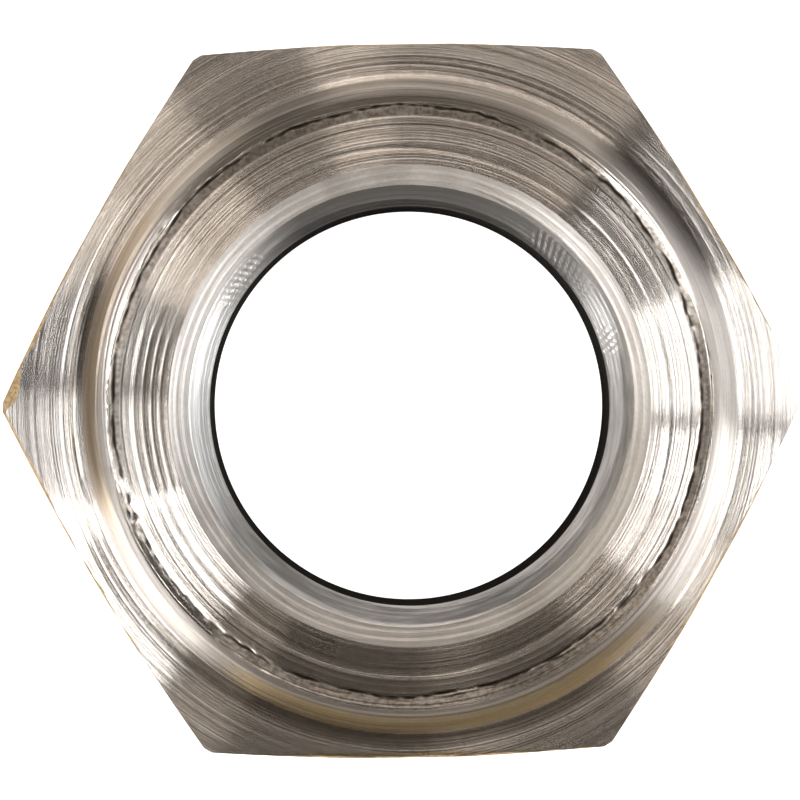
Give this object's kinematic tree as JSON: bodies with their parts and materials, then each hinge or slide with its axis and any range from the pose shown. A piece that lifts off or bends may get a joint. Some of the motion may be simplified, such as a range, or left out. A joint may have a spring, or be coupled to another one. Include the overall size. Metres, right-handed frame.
{
  "type": "hex nut",
  "caption": "Turned steel hex nut with a raised washer face, a countersunk threaded hole and a chamfered plain back.",
  "frame": {"origin": "middle of the plain back face, on the thread's axis; the nut stands on that face", "axes": "+Z along the thread's axis, from the plain back face to the raised washer face; +X through a corner, +Y square to a flat"},
  "size_m": [0.0248, 0.022, 0.011],
  "materials": {
    "turned_steel": "bare turned steel with fine concentric tool marks, slightly warm, with torn metal round the washer face"
  },
  "bodies": {
    "root": {"nut_body": "turned_steel"}
  },
  "joints": []
}
